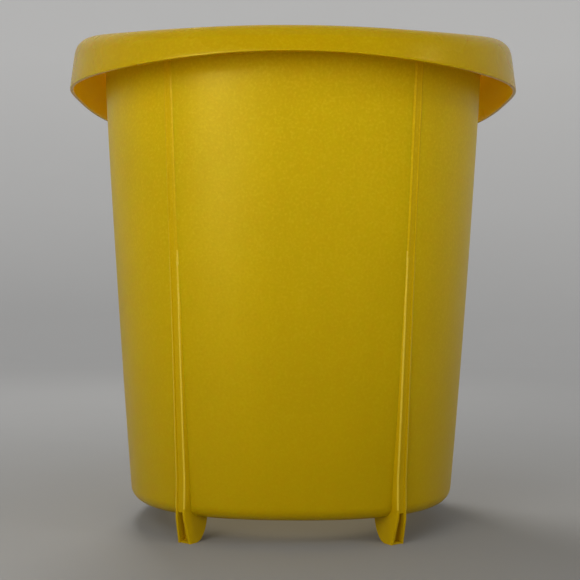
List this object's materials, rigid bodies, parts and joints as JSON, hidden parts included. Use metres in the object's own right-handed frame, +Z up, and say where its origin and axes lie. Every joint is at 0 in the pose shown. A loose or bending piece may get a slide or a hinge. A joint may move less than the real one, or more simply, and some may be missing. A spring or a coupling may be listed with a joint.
{
  "type": "biohazard waste bin",
  "caption": "Tapered yellow swing-top waste bin with a broad vaulted rim band, slim wall ribs and channel-shaped feet.",
  "frame": {"origin": "on the floor under the middle of the bin, at the feet's lowest plane", "axes": "+Z up, -Y towards the front, X along the flap's hinge axis"},
  "size_m": [0.2792, 0.2792, 0.3039],
  "materials": {
    "body_yellow": "semi-matt moulded yellow polypropylene",
    "lid_yellow": "semi-matt moulded yellow polypropylene",
    "flap_yellow": "semi-matt moulded yellow polypropylene",
    "seal_rubber": "soft grey sealing strip",
    "steel": "plain stainless steel",
    "nylon": "natural nylon",
    "buffer_rubber": "black rubber"
  },
  "bodies": {
    "base": {"tub": "body_yellow"},
    "lid": {"lid_frame": "lid_yellow", "rim_seal": "seal_rubber", "pivot_bush_left": "nylon", "pivot_bush_right": "nylon", "stop_buffer_front_left": "buffer_rubber", "stop_buffer_front_right": "buffer_rubber", "stop_buffer_back_left": "buffer_rubber", "stop_buffer_back_right": "buffer_rubber"},
    "flap": {"swing_flap": "flap_yellow", "balance_bar": "steel", "balance_screw_left": "steel", "balance_screw_right": "steel", "pivot_pin_left": "steel", "pivot_pin_right": "steel", "pin_clip_left": "steel", "pin_clip_right": "steel"}
  },
  "joints": [
    {"name": "lid_lift", "type": "slide", "parent": "base", "child": "lid", "axis": [0, 0, 1], "range_m": [0, 0.2]},
    {"name": "flap_swing", "type": "hinge", "parent": "lid", "child": "flap", "pos_m": [0, 0, 0.2834], "axis": [1, 0, 0], "range_deg": [-65, 65]}
  ]
}
